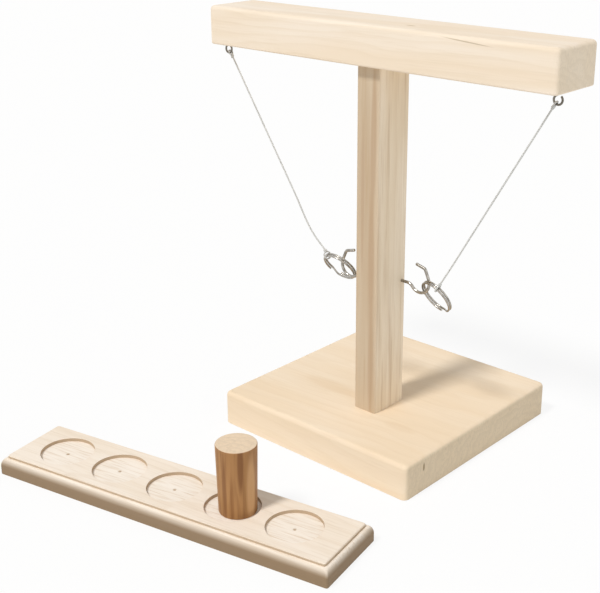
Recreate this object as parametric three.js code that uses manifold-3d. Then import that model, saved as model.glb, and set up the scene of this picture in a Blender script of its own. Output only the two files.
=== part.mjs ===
// Ring toss game: a T-shaped stand with a hook, a string and a ring on each side, and a board of wells
// with a peg. Millimetres, +Z up. The origin is the centre of the base board's underside, X runs along
// the crossbar and +Y points to the back of the stand.
import * as THREE from 'three';
import { mergeVertices } from 'three/addons/utils/BufferGeometryUtils.js';
import Module from 'manifold-3d';

// Base board
const BASE_LENGTH = 200;
const BASE_WIDTH = 200;
const BASE_HEIGHT = 30;
const BASE_CORNER = 5;
const BASE_ROUND = 4;

// Post, standing to the right of and in front of the base's centre
const POST_RIGHT = 15;
const POST_FORWARD = 29;
const POST_THICKNESS = 22;
const POST_DEPTH = 37;
const POST_HEIGHT = 290;
const POST_CORNER = 1.2;

// Crossbar, centred on the post
const BAR_LENGTH = 334;
const BAR_DEPTH = 52;
const BAR_HEIGHT = 32;
const BAR_CORNER = 3.5;
const BAR_UPPER_ROUND = 3.5;
const BAR_LOWER_ROUND = 1.5;

// Countersunk wood screws from the base into the post
const SCREW_SPACING = 16;
const SCREW_LENGTH = 50;
const SCREW_SHANK = 4;
const SCREW_POINT = 7;
const SCREW_HEAD = 8;
const SCREW_RECESS = 1;
const CROSS_LENGTH = 4.4;
const CROSS_WIDTH = 1;
const CROSS_DEPTH = 1.4;

// Dowels between the post and the crossbar
const DOWEL_SPACING = 16;
const DOWEL_DIAMETER = 8;
const DOWEL_LENGTH = 30;
const DOWEL_IN_POST = 16;
const DOWEL_CHAMFER = 1;

// Smallest corner that an outline keeps where its edge is drawn in
const LEAST_CORNER = 0.4;

// Fit of what sits in a hole, and the gap between pieces that touch
const HOLE_CLEARANCE = 0.3;
const SEAT_GAP = 0.3;

// Screw hooks in the post's sides, each where it was put by hand
const LEFT_HOOK_ABOVE_TABLE = 144.4;
const LEFT_HOOK_SET_BACK = -2.5;
const RIGHT_HOOK_ABOVE_TABLE = 140.3;
const RIGHT_HOOK_SET_BACK = 14;
const HOOK_WIRE = 2.6;
const HOOK_IN_WOOD = 9;
const HOOK_SHANK = 6;
const HOOK_DROP_RADIUS = 7;
const HOOK_DROP_ANGLE = 50;
const HOOK_BOWL_RADIUS = 9.5;
const HOOK_RISE_ANGLE = 114;
const HOOK_RISE = 7.5;
const HOOK_LIP_RADIUS = 3;
const HOOK_LIP_ANGLE = 165;
const HOOK_LIP = 8;

// Screw eyes under the crossbar
const EYE_WIRE = 1.6;
const EYE_RADIUS = 3.4;
const EYE_BEND = 1.8;
const EYE_NECK = 0.4;
const EYE_IN_WOOD = 10;
const EYE_INSET = 7;
const EYE_SET_FORWARD = 11;
const EYE_TURN = 300;

// Split rings: two turns of wire with one step between them
const RING_OUTER = 31;
const RING_WIRE = 1.7;
const RING_TURN_GAP = 0.4;
const RING_STEP_ANGLE = 18;
const RING_STEP_PLACE = -45;

// How each ring hangs in its hook's bowl: the slope of its long axis away from the post, how far its
// front side is tipped up, where its rim lies from the bowl's centre, and where the string is tied to it
const LEFT_RING_SLOPE = 0;
const LEFT_RING_TIP = 53;
const LEFT_RIM_OUT = -2.5;
const LEFT_RIM_UP = -3.5;
const LEFT_TIE_ANGLE = 60;
const RIGHT_RING_SLOPE = -24;
const RIGHT_RING_TIP = 58;
const RIGHT_RIM_OUT = 3.8;
const RIGHT_RIM_UP = -2.55;
const RIGHT_TIE_ANGLE = 84;

// String, its loops, its knots and how far its slack hangs out
const STRING_DIAMETER = 1.5;
const LOOP_CLEARANCE = 0.35;
const KNOT_DIAMETER = 2.8;
const LEFT_SLACK = 4.4;
const RIGHT_SLACK = 0.3;

// Ladder board, turned on the table in front of the stand
const LADDER_X = -27.4;
const LADDER_Y = -219;
const LADDER_ANGLE = 11.3;
const LADDER_LENGTH = 305;
const LADDER_WIDTH = 68;
const LADDER_HEIGHT = 16;
const LADDER_CORNER = 2;
const LADDER_ARRIS = 0.6;
const ROUTED_INSET = 4.6;
const ROUTED_START = 7;
const ROUTED_STEP = 2.4;
const ROUTED_FLAT = 0.6;
const WELL_COUNT = 5;
const WELL_PITCH = 54;
const WELL_ROW_SHIFT = -2.7;
const WELL_DIAMETER = 43;
const WELL_DEPTH = 2.8;
const PIP_DIAMETER = 3.4;
const PIP_DEPTH = 0.9;

// Marker peg, put down a little off its well's centre
const PEG_WELL = 3;
const PEG_ALONG = 3.9;
const PEG_ACROSS = 1.2;
const PEG_TOP = 31.2;
const PEG_FOOT = 28.8;
const PEG_HEIGHT = 55.5;
const PEG_CHAMFER = 0.8;

// Facets
const CORNER_STEPS = 5;
const ROUND_STEPS = 5;
const WELL_SIDES = 48;
const TURNED_SIDES = 24;
const WIRE_SIDES = 8;
const LOOP_SIDES = 16;
const KNOT_SIDES = 10;
const KNOT_BANDS = 6;
const BENT_STEPS = 44;
const RING_STEPS = 72;
const STRING_STEPS = 50;

// Places that follow from the sizes
const postY = -POST_FORWARD;
const barBottom = BASE_HEIGHT + POST_HEIGHT;
const ringWireRadius = RING_WIRE / 2;
const ringRadius = RING_OUTER / 2 - ringWireRadius;
const ringPitch = RING_WIRE + RING_TURN_GAP;
const stringRadius = STRING_DIAMETER / 2;
const knotRadius = KNOT_DIAMETER / 2;

const radians = THREE.MathUtils.degToRad;
const vector = (x, y, z) => new THREE.Vector3(x, y, z);

const wasm = await Module();
wasm.setup();

const finishes = {
  pine: { color: 0xf0dcbf, roughness: 0.7, metalness: 0 },
  ash: { color: 0xd3bc9c, roughness: 0.7, metalness: 0 },
  stained: { color: 0xb08352, roughness: 0.65, metalness: 0 },
  steel: { color: 0xb9b8b2, roughness: 0.3, metalness: 1 },
  string: { color: 0xc9c8c2, roughness: 0.9, metalness: 0 },
};

const game = new THREE.Group();

function addPiece(name, geometry, finish, parent = game) {
  const mesh = new THREE.Mesh(geometry, new THREE.MeshStandardMaterial(finishes[finish]));
  mesh.name = name;
  parent.add(mesh);
  return mesh;
}

// Turns a closed geometry into a solid that can be joined and cut
function solidOf(geometry) {
  const bare = geometry.clone();
  bare.deleteAttribute('normal');
  bare.deleteAttribute('uv');
  const merged = mergeVertices(bare, 1e-4);
  const vertProperties = new Float32Array(merged.attributes.position.array);
  const triVerts = new Uint32Array(merged.index.array);
  return new wasm.Manifold(new wasm.Mesh({ numProp: 3, vertProperties, triVerts }));
}

function geometryOf(solid) {
  const mesh = solid.getMesh();
  const geometry = new THREE.BufferGeometry();
  geometry.setAttribute('position', new THREE.BufferAttribute(new Float32Array(mesh.vertProperties), 3));
  geometry.setIndex(new THREE.BufferAttribute(new Uint32Array(mesh.triVerts), 1));
  geometry.computeVertexNormals();
  return geometry;
}

const cut = (geometry, cutters) =>
  geometryOf(cutters.reduce((solid, cutter) => solid.subtract(solidOf(cutter)), solidOf(geometry)));

const join = (geometries) =>
  geometryOf(geometries.slice(1).reduce((solid, next) => solid.add(solidOf(next)), solidOf(geometries[0])));

// Corners of a rectangle with round corners, anticlockwise
function roundRectangle(length, width, radius) {
  const points = [];
  for (let corner = 0; corner < 4; corner += 1) {
    const alongX = corner === 0 || corner === 3 ? 1 : -1;
    const alongY = corner < 2 ? 1 : -1;
    for (let step = 0; step <= CORNER_STEPS; step += 1) {
      const angle = (corner + step / CORNER_STEPS) * Math.PI / 2;
      const x = alongX * (length / 2 - radius) + radius * Math.cos(angle);
      const y = alongY * (width / 2 - radius) + radius * Math.sin(angle);
      points.push(new THREE.Vector2(x, y));
    }
  }
  return points;
}

// A board whose edge follows a profile: each point is how far the outline is drawn in, and at what height
function profiledBoard(length, width, corner, profile) {
  const vertices = [];
  const index = [];
  const outlines = profile.map(([inset, height]) => {
    const radius = Math.max(corner - inset, LEAST_CORNER);
    const outline = roundRectangle(length - 2 * inset, width - 2 * inset, radius);
    return outline.map((point) => [point.x, point.y, height]);
  });
  const count = outlines[0].length;
  outlines.forEach((outline) => vertices.push(...outline.flat()));
  for (let level = 0; level + 1 < outlines.length; level += 1) {
    for (let side = 0; side < count; side += 1) {
      const next = (side + 1) % count;
      const low = level * count;
      const high = low + count;
      index.push(low + side, low + next, high + next);
      index.push(low + side, high + next, high + side);
    }
  }
  const top = (outlines.length - 1) * count;
  for (let side = 1; side + 1 < count; side += 1) {
    index.push(0, side + 1, side);
    index.push(top, top + side, top + side + 1);
  }
  const geometry = new THREE.BufferGeometry();
  geometry.setAttribute('position', new THREE.Float32BufferAttribute(vertices, 3));
  geometry.setIndex(index);
  geometry.computeVertexNormals();
  return geometry;
}

// Quarter round of a profile, from an upright side to a flat top
function quarterRound(inset, low, high) {
  const points = [];
  for (let step = 0; step <= ROUND_STEPS; step += 1) {
    const angle = step / ROUND_STEPS * Math.PI / 2;
    points.push([inset * (1 - Math.cos(angle)), low + (high - low) * Math.sin(angle)]);
  }
  return points;
}

// A turned piece standing on Z, from pairs of radius and height that start and end on the axis
function turned(profile, sides = TURNED_SIDES) {
  const points = profile.map(([radius, height]) => new THREE.Vector2(radius, height));
  return new THREE.LatheGeometry(points, sides).rotateX(Math.PI / 2);
}

function plainRod(radius, bottom, top, sides) {
  return turned([[0, bottom], [radius, bottom], [radius, top], [0, top]], sides);
}

// Wire bent in one plane: each leg runs straight on, or round a radius through an angle in degrees
class BentWire extends THREE.Curve {
  constructor(x, z, heading, legs) {
    super();
    this.legs = [];
    this.total = 0;
    const place = { x, z, heading: radians(heading) };
    legs.forEach((leg) => {
      const turn = radians(leg.turn ?? 0);
      const length = leg.run ?? leg.radius * Math.abs(turn);
      this.legs.push({ ...place, turn, length, start: this.total });
      Object.assign(place, BentWire.along(place, length, turn));
      this.total += length;
    });
  }

  static along(place, length, turn) {
    if (turn === 0) {
      const x = place.x + length * Math.cos(place.heading);
      const z = place.z + length * Math.sin(place.heading);
      return { x, z, heading: place.heading };
    }
    const radius = length / turn;
    const heading = place.heading + turn;
    const x = place.x + radius * (Math.sin(heading) - Math.sin(place.heading));
    const z = place.z - radius * (Math.cos(heading) - Math.cos(place.heading));
    return { x, z, heading };
  }

  getPoint(t, target = vector(0, 0, 0)) {
    const distance = t * this.total;
    const leg = this.legs.findLast((entry) => entry.start <= distance);
    const length = distance - leg.start;
    const place = BentWire.along(leg, length, leg.turn * length / leg.length);
    return target.set(place.x, 0, place.z);
  }
}

// Two turns of a split ring about Z, side by side but for the step from one to the other
class SplitRing extends THREE.Curve {
  getPoint(t, target = vector(0, 0, 0)) {
    const step = radians(RING_STEP_ANGLE);
    const along = step + t * (4 * Math.PI - 2 * step);
    const across = THREE.MathUtils.smoothstep(along, 2 * Math.PI - step, 2 * Math.PI + step) - 0.5;
    const angle = along + radians(RING_STEP_PLACE);
    return target.set(ringRadius * Math.cos(angle), ringRadius * Math.sin(angle), ringPitch * across);
  }
}

// A round wire or cord along a curve, closed at both ends
function wireAlong(path, diameter, steps) {
  const corners = Array.from({ length: WIRE_SIDES }, (_, side) => {
    const angle = side / WIRE_SIDES * 2 * Math.PI;
    return new THREE.Vector2(Math.cos(angle), Math.sin(angle)).multiplyScalar(diameter / 2);
  });
  const section = new THREE.Shape(corners);
  return new THREE.ExtrudeGeometry(section, { steps, extrudePath: path, bevelEnabled: false });
}

// Countersunk wood screw, or with a clearance the hole for it
function screwProfile(clearance) {
  const shank = SCREW_SHANK / 2 + clearance;
  const head = SCREW_HEAD / 2 + clearance;
  const neck = SCREW_RECESS + head - shank;
  const tip = SCREW_RECESS + SCREW_LENGTH + clearance;
  const face = [[0, SCREW_RECESS], [head, SCREW_RECESS]];
  return [...face, [shank, neck], [shank, tip - SCREW_POINT], [0, tip]];
}

function screwHole() {
  const profile = screwProfile(HOLE_CLEARANCE);
  const mouth = SCREW_HEAD / 2 + HOLE_CLEARANCE;
  return turned([[0, -1], [mouth, -1], ...profile.slice(1)]);
}

const screwPlaces = [['front', -SCREW_SPACING / 2], ['back', SCREW_SPACING / 2]];
const screwHoles = screwPlaces.map(([, y]) => screwHole().translate(POST_RIGHT, postY + y, 0));

// Base board with the two countersunk holes
function baseBoard() {
  const edge = quarterRound(BASE_ROUND, BASE_HEIGHT - BASE_ROUND, BASE_HEIGHT);
  const board = profiledBoard(BASE_LENGTH, BASE_WIDTH, BASE_CORNER, [[0, 0], ...edge]);
  return cut(board, screwHoles);
}

function baseScrew() {
  const blade = new THREE.BoxGeometry(CROSS_LENGTH, CROSS_WIDTH, 2 * CROSS_DEPTH);
  blade.translate(0, 0, SCREW_RECESS);
  const crossBlade = blade.clone().rotateZ(Math.PI / 2);
  return cut(turned(screwProfile(0)), [blade, crossBlade]);
}

// Post with the screws' pilot holes, the dowels' holes and the hooks' pilot holes
const dowelPlaces = [['front', -DOWEL_SPACING / 2], ['back', DOWEL_SPACING / 2]];
const dowelBottom = barBottom - DOWEL_IN_POST;
const dowelHoles = dowelPlaces.map(([, y]) => {
  const radius = DOWEL_DIAMETER / 2 + HOLE_CLEARANCE;
  const hole = plainRod(radius, dowelBottom - HOLE_CLEARANCE, dowelBottom + DOWEL_LENGTH + HOLE_CLEARANCE);
  return hole.translate(POST_RIGHT, postY + y, 0);
});

const sides = [
  {
    name: 'left',
    out: -1,
    hookHeight: LEFT_HOOK_ABOVE_TABLE,
    hookSetBack: LEFT_HOOK_SET_BACK,
    slope: LEFT_RING_SLOPE,
    tip: LEFT_RING_TIP,
    rimOut: LEFT_RIM_OUT,
    rimUp: LEFT_RIM_UP,
    tieAngle: LEFT_TIE_ANGLE,
    slack: LEFT_SLACK,
  },
  {
    name: 'right',
    out: 1,
    hookHeight: RIGHT_HOOK_ABOVE_TABLE,
    hookSetBack: RIGHT_HOOK_SET_BACK,
    slope: RIGHT_RING_SLOPE,
    tip: RIGHT_RING_TIP,
    rimOut: RIGHT_RIM_OUT,
    rimUp: RIGHT_RIM_UP,
    tieAngle: RIGHT_TIE_ANGLE,
    slack: RIGHT_SLACK,
  },
];

function hookRoot(side) {
  const x = POST_RIGHT + side.out * POST_THICKNESS / 2;
  return vector(x, postY + side.hookSetBack, side.hookHeight);
}

function hookHole(side) {
  const depth = HOOK_IN_WOOD + HOLE_CLEARANCE;
  const hole = plainRod(HOOK_WIRE / 2 + HOLE_CLEARANCE, -depth, depth, WIRE_SIDES).rotateY(Math.PI / 2);
  return hole.translate(...hookRoot(side));
}

function post() {
  const outline = new THREE.Shape(roundRectangle(POST_THICKNESS, POST_DEPTH, POST_CORNER));
  const blank = new THREE.ExtrudeGeometry(outline, { depth: POST_HEIGHT, bevelEnabled: false });
  blank.translate(POST_RIGHT, postY, BASE_HEIGHT);
  return cut(blank, [...screwHoles, ...dowelHoles, ...sides.map(hookHole)]);
}

function dowel() {
  const radius = DOWEL_DIAMETER / 2;
  const nose = radius - DOWEL_CHAMFER;
  const lower = [[0, 0], [nose, 0], [radius, DOWEL_CHAMFER]];
  const upper = [[radius, DOWEL_LENGTH - DOWEL_CHAMFER], [nose, DOWEL_LENGTH], [0, DOWEL_LENGTH]];
  return turned([...lower, ...upper]);
}

// Crossbar with the dowels' holes and the screw eyes' pilot holes
const eyeX = (side) => POST_RIGHT + side.out * (BAR_LENGTH / 2 - EYE_INSET);
const eyeY = postY - EYE_SET_FORWARD;

function eyeHole(side) {
  const depth = EYE_IN_WOOD + HOLE_CLEARANCE;
  const hole = plainRod(EYE_WIRE / 2 + HOLE_CLEARANCE, -depth, depth, WIRE_SIDES);
  return hole.translate(eyeX(side), eyeY, barBottom);
}

function crossbar() {
  const upper = quarterRound(BAR_UPPER_ROUND, BAR_HEIGHT - BAR_UPPER_ROUND, BAR_HEIGHT);
  const lower = quarterRound(BAR_LOWER_ROUND, BAR_LOWER_ROUND, 0).reverse();
  const bar = profiledBoard(BAR_LENGTH, BAR_DEPTH, BAR_CORNER, [...lower, ...upper]);
  bar.translate(POST_RIGHT, postY, barBottom);
  return cut(bar, [...dowelHoles, ...sides.map(eyeHole)]);
}

// Screw hook, drawn for the right side with its root in the post's face
function hook() {
  const path = new BentWire(-HOOK_IN_WOOD, 0, 0, [
    { run: HOOK_IN_WOOD + HOOK_SHANK },
    { radius: HOOK_DROP_RADIUS, turn: -HOOK_DROP_ANGLE },
    { radius: HOOK_BOWL_RADIUS, turn: HOOK_DROP_ANGLE + HOOK_RISE_ANGLE },
    { run: HOOK_RISE },
    { radius: HOOK_LIP_RADIUS, turn: HOOK_LIP_ANGLE - HOOK_RISE_ANGLE },
    { run: HOOK_LIP },
  ]);
  return wireAlong(path, HOOK_WIRE, BENT_STEPS);
}

// The bowl's centre, from the hook's root
const dropAngle = radians(HOOK_DROP_ANGLE);
const bowlOut = HOOK_SHANK + (HOOK_DROP_RADIUS + HOOK_BOWL_RADIUS) * Math.sin(dropAngle);
const bowlUp = (HOOK_DROP_RADIUS + HOOK_BOWL_RADIUS) * Math.cos(dropAngle) - HOOK_DROP_RADIUS;

// Screw eye, drawn for the right side with its root in the crossbar's underside; the neck's bend centres it
const eyeBendAngle = Math.acos(EYE_BEND / (EYE_BEND + EYE_RADIUS));
const eyeDrop = EYE_NECK + (EYE_BEND + EYE_RADIUS) * Math.sin(eyeBendAngle);

function screwEye() {
  const bend = THREE.MathUtils.radToDeg(eyeBendAngle);
  const path = new BentWire(0, EYE_IN_WOOD, -90, [
    { run: EYE_IN_WOOD + EYE_NECK },
    { radius: EYE_BEND, turn: -bend },
    { radius: EYE_RADIUS, turn: EYE_TURN },
  ]);
  return wireAlong(path, EYE_WIRE, BENT_STEPS);
}

// A piece drawn for the right side is turned half round Z for the left
const facing = (side) => (side.out > 0 ? 0 : Math.PI);

// How a ring hangs: its centre and its three directions
function ringPose(side) {
  const slope = radians(side.slope);
  const tip = radians(side.tip);
  const along = vector(side.out * Math.cos(slope), 0, Math.sin(slope));
  const raised = vector(-side.out * Math.sin(slope), 0, Math.cos(slope));
  const front = raised.clone().multiplyScalar(Math.sin(tip)).add(vector(0, -Math.cos(tip), 0));
  const axis = along.clone().cross(front);
  const rim = hookRoot(side).add(vector(side.out * (bowlOut + side.rimOut), 0, bowlUp + side.rimUp));
  const centre = rim.clone().addScaledVector(along, ringRadius);
  return { along, front, axis, centre };
}

// The place where the string is tied round a ring's rim
function ringTie(side) {
  const { along, front, axis, centre } = ringPose(side);
  const angle = radians(side.tieAngle);
  const outward = along.clone().multiplyScalar(Math.cos(angle)).addScaledVector(front, Math.sin(angle));
  const place = centre.clone().addScaledVector(outward, ringRadius);
  return { place, outward, axis };
}

const eyeCentre = (side) => vector(eyeX(side), eyeY, barBottom - eyeDrop);

// Each end of a string: the wire it is looped round, the loop's two directions and the way to its knot
const eyeLoopRadius = EYE_WIRE / 2 + LOOP_CLEARANCE + stringRadius;
const ringLoopRadius = ringPitch / 2 + ringWireRadius + LOOP_CLEARANCE + stringRadius;

function eyeEnd(side) {
  const centre = eyeCentre(side);
  const away = ringTie(side).place.sub(centre).setY(0).normalize();
  const place = centre.addScaledVector(away, EYE_RADIUS);
  return { place, outward: away, across: vector(0, 1, 0), radius: eyeLoopRadius, away };
}

function ringEnd(side) {
  const { place, outward, axis } = ringTie(side);
  const toEye = eyeCentre(side).sub(place);
  const away = outward.clone().multiplyScalar(toEye.dot(outward));
  away.addScaledVector(axis, toEye.dot(axis)).normalize();
  return { place, outward, across: axis, radius: ringLoopRadius, away };
}

const knotCentre = (end) => end.place.clone().addScaledVector(end.away, end.radius + stringRadius);

// A loop of string round a wire, with its knot on the side that the string leaves from
function knottedLoop(end) {
  const normal = end.outward.clone().cross(end.across);
  const frame = new THREE.Matrix4().makeBasis(end.outward, end.across, normal).setPosition(end.place);
  const loop = new THREE.TorusGeometry(end.radius, stringRadius, WIRE_SIDES, LOOP_SIDES).applyMatrix4(frame);
  const knot = new THREE.SphereGeometry(knotRadius, KNOT_SIDES, KNOT_BANDS).translate(...knotCentre(end));
  return join([loop, knot]);
}

// The free string from its eye's knot to its ring's knot; the slack hangs out most just above the ring
const slackShape = [[0.2, 0.25], [0.45, 0.54], [0.7, 0.8], [0.9, 1]];

function stringRoute(side) {
  const top = knotCentre(eyeEnd(side));
  const bottom = knotCentre(ringEnd(side));
  const chord = bottom.clone().sub(top);
  const outward = vector(-chord.z, 0, chord.x).multiplyScalar(side.out).normalize();
  const points = slackShape.map(([share, slack]) =>
    top.clone().addScaledVector(chord, share).addScaledVector(outward, slack * side.slack));
  const clear = knotRadius + SEAT_GAP;
  const first = points[0].clone().sub(top).setLength(clear).add(top);
  const last = points.at(-1).clone().sub(bottom).setLength(clear).add(bottom);
  return new THREE.CatmullRomCurve3([first, ...points, last]);
}

// Ladder board with its wells, drawn about its own centre
function wellCutter() {
  const floor = LADDER_HEIGHT - WELL_DEPTH;
  const pip = PIP_DIAMETER / 2;
  const well = WELL_DIAMETER / 2;
  const above = LADDER_HEIGHT + 1;
  const profile = [[0, floor - PIP_DEPTH], [pip, floor], [well, floor], [well, above], [0, above]];
  return turned(profile, WELL_SIDES);
}

const wellX = (number) => WELL_ROW_SHIFT + (number - (WELL_COUNT - 1) / 2) * WELL_PITCH;

function ladderBoard() {
  const step = LADDER_HEIGHT - ROUTED_STEP;
  const foot = [[LADDER_ARRIS, 0], [0, LADDER_ARRIS]];
  const round = quarterRound(ROUTED_INSET - ROUTED_FLAT, ROUTED_START, step);
  const rim = [[ROUTED_INSET, step], [ROUTED_INSET, LADDER_HEIGHT - LADDER_ARRIS]];
  const top = [ROUTED_INSET + LADDER_ARRIS, LADDER_HEIGHT];
  const board = profiledBoard(LADDER_LENGTH, LADDER_WIDTH, LADDER_CORNER, [...foot, ...round, ...rim, top]);
  const numbers = Array.from({ length: WELL_COUNT }, (_, number) => number);
  return cut(board, numbers.map((number) => wellCutter().translate(wellX(number), 0, 0)));
}

function scorePeg() {
  const foot = PEG_FOOT / 2;
  const top = PEG_TOP / 2;
  const lower = [[0, 0], [foot - PEG_CHAMFER, 0], [foot, PEG_CHAMFER]];
  const upper = [[top, PEG_HEIGHT - PEG_CHAMFER], [top - PEG_CHAMFER, PEG_HEIGHT], [0, PEG_HEIGHT]];
  return turned([...lower, ...upper], WELL_SIDES);
}

// The stand
addPiece('base_board', baseBoard(), 'pine');
addPiece('post', post(), 'ash');
addPiece('crossbar', crossbar(), 'pine');
screwPlaces.forEach(([place, y]) => {
  addPiece(`base_screw_${place}`, baseScrew(), 'steel').position.set(POST_RIGHT, postY + y, 0);
});
dowelPlaces.forEach(([place, y]) => {
  addPiece(`crossbar_dowel_${place}`, dowel(), 'pine').position.set(POST_RIGHT, postY + y, dowelBottom);
});

// Each side's hook, screw eye, ring and string
sides.forEach((side) => {
  const hookMesh = addPiece(`${side.name}_hook`, hook(), 'steel');
  hookMesh.position.copy(hookRoot(side));
  hookMesh.rotation.z = facing(side);
  const eyeMesh = addPiece(`${side.name}_screw_eye`, screwEye(), 'steel');
  eyeMesh.position.set(eyeX(side), eyeY, barBottom);
  eyeMesh.rotation.z = facing(side);
  const pose = ringPose(side);
  const ringMesh = addPiece(`${side.name}_ring`, wireAlong(new SplitRing(), RING_WIRE, RING_STEPS), 'steel');
  ringMesh.position.copy(pose.centre);
  ringMesh.setRotationFromMatrix(new THREE.Matrix4().makeBasis(pose.along, pose.front, pose.axis));
  addPiece(`${side.name}_eye_knot`, knottedLoop(eyeEnd(side)), 'string');
  addPiece(`${side.name}_ring_knot`, knottedLoop(ringEnd(side)), 'string');
  addPiece(`${side.name}_string`, wireAlong(stringRoute(side), STRING_DIAMETER, STRING_STEPS), 'string');
});

// The ladder and the peg in its well
const ladder = new THREE.Group();
ladder.position.set(LADDER_X, LADDER_Y, 0);
ladder.rotation.z = radians(LADDER_ANGLE);
game.add(ladder);
addPiece('ladder_board', ladderBoard(), 'pine', ladder);
const pegMesh = addPiece('score_peg', scorePeg(), 'stained', ladder);
const pegSeat = LADDER_HEIGHT - WELL_DEPTH + SEAT_GAP;
pegMesh.position.set(wellX(PEG_WELL) + PEG_ALONG, PEG_ACROSS, pegSeat);

export default game;
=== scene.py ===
# Ring toss game: the looks of the stand, its strings and rings, and the ladder board with its peg.
import math

import bmesh
import bpy
from mathutils import Matrix, Vector


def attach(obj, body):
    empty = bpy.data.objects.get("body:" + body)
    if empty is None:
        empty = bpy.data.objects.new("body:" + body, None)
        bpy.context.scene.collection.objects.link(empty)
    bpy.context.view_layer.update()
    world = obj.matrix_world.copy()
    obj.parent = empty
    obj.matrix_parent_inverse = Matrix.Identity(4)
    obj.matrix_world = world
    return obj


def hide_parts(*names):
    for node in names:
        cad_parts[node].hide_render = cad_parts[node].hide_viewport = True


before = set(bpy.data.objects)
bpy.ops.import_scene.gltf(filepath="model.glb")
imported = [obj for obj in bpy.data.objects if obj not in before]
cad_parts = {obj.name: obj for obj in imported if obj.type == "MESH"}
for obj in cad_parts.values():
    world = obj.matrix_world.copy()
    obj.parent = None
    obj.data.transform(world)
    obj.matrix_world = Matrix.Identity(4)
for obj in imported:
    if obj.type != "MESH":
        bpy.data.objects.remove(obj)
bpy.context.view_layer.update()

MM = 0.001
X_AXIS = Vector((1, 0, 0))
Y_AXIS = Vector((0, 1, 0))
Z_AXIS = Vector((0, 0, 1))

# Sizes in millimetres and angles in degrees, as in the solid model; shares, steps and turns have no unit
BASE_SIZE = (200, 200, 30)
BASE_CORNER = 5
BASE_ROUND = 4
BASE_ARRIS = 0.5
POST_PLACE = (15, -29)
POST_SIZE = (22, 37, 290)
POST_CORNER = 1.2
BAR_SIZE = (334, 52, 32)
BAR_CORNER = 3.5
BAR_UPPER_ROUND = 3.5
BAR_LOWER_ROUND = 1.5
BAR_BOTTOM = BASE_SIZE[2] + POST_SIZE[2]

SCREW_PLACES = {"front": -8, "back": 8}
SCREW_HEAD = 8
SCREW_SHANK = 4
SCREW_LENGTH = 50
SCREW_POINT = 7
SCREW_RECESS = 1
SCREW_RIM = 0.25
SCREW_TIP_SHARE = 0.08
SINK_CLEARANCE = 0.3
CROSS_LENGTH = 4.4
CROSS_WIDTH = 1
CROSS_DEPTH = 1.4
CROSS_TAPER = 0.6
THREAD_PITCH = 2.2
THREAD_HEIGHT = 0.5
THREAD_TURNS = 11
THREAD_START = 18
THREAD_STEPS = 16

HOOK_WIRE = 2.6
HOOK_PLACE = {"left": (-31.5, 144.4), "right": (-15, 140.3)}
HOOK_IN_WOOD = 9
HOOK_SHANK = 6
HOOK_DROP = (7, -50)
HOOK_BOWL = (9.5, 164)
HOOK_RISE = 7.5
HOOK_LIP_BEND = (3, 51)
HOOK_LIP = 8
HOOK_TIP_ROUND = 0.7

EYE_WIRE = 1.6
EYE_X = {"left": -145, "right": 175}
EYE_Y = -40
EYE_IN_WOOD = 10
EYE_NECK = 0.4
EYE_BEND = 1.8
EYE_RADIUS = 3.4
EYE_TURN = 300
EYE_TIP_ROUND = 0.35
EYE_BEND_ANGLE = math.degrees(math.acos(EYE_BEND / (EYE_BEND + EYE_RADIUS)))
EYE_DROP = EYE_NECK + (EYE_BEND + EYE_RADIUS) * math.sin(math.radians(EYE_BEND_ANGLE))

RING_WIRE = 1.7
RING_RADIUS = 14.65
RING_PITCH = 2.1
RING_STEP = 18
RING_STEP_PLACE = -45
RING_END_ROUND = 0.3
RING_COIL_STEPS = 81
RING_RISE_STEPS = 12
RING_CENTRE = {"left": (-26.790, -31.5, 144.506), "right": (61.823, -15, 135.397)}
RING_SLOPE = {"left": 0, "right": -24}
RING_TIP = {"left": 53, "right": 58}
RING_TIE = {"left": 60, "right": 84}

STRING_DIAMETER = 1.5
STRING_LAY = 4.6
STRANDS = 3
STRING_SLACK = {"left": 4.4, "right": 0.3}
SLACK_SHAPE = ((0.2, 0.25), (0.45, 0.54), (0.7, 0.8), (0.9, 1))
STRING_SPACING = 0.4
LOOP_CLEARANCE = 0.35
LOOP_THICKNESS = 0.92
LOOP_SPACING = 0.2
LOOP_GAP = 24
LOOP_STEPS = 36
KNOT_REACH = 0.75
KNOT_TURNS = 2.4
KNOT_LENGTH = 2.0
KNOT_OVERLAP = 0.35
KNOT_STEPS = 40
KNOT_TAIL = 0.5
TAG_END = 1.2

LADDER_PLACE = (-27.4, -219)
LADDER_ANGLE = 11.3
LADDER_SIZE = (305, 68, 16)
LADDER_CORNER = 1.5
LADDER_ARRIS = 0.6
ROUTED_START = 7
ROUTED_INSET = 4.6
ROUTED_STEP = 2.4
ROUTED_FLAT = 0.6
ROUTED_STEPS = 8
WELL_COUNT = 5
WELL_PITCH = 54
WELL_ROW_SHIFT = -2.7
WELL_DIAMETER = 43
WELL_DEPTH = 2.8
WELL_RIM = 0.3
PIP_DIAMETER = 3.4
PIP_DEPTH = 0.9
PIP_TAPER = 0.15
PEG_WELL = 3  # counted from 0
PEG_OFFSET = (3.9, 1.2)
PEG_TOP = 31.2
PEG_FOOT = 28.8
PEG_HEIGHT = 55.5
PEG_CHAMFER = 0.8
PEG_LIFT = 0.1

LADDER_TURN = math.radians(LADDER_ANGLE)

# Facets of the round forms, and the angles from which an edge stays crisp
EDGE_STEPS = 6
CORNER_STEPS = 4
TIP_STEPS = 3
ARRIS_STEPS = 2
ROUND_PROFILE = 0.5
WIRE_SIDES = 20
TURNED_SIDES = 96
BEND_STEP = 6
BEND_LEAST = 3
STRAND_ROUNDNESS = 2
CREASE = 35
WIRE_CREASE = 50
SCREW_CREASE = 30

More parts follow.
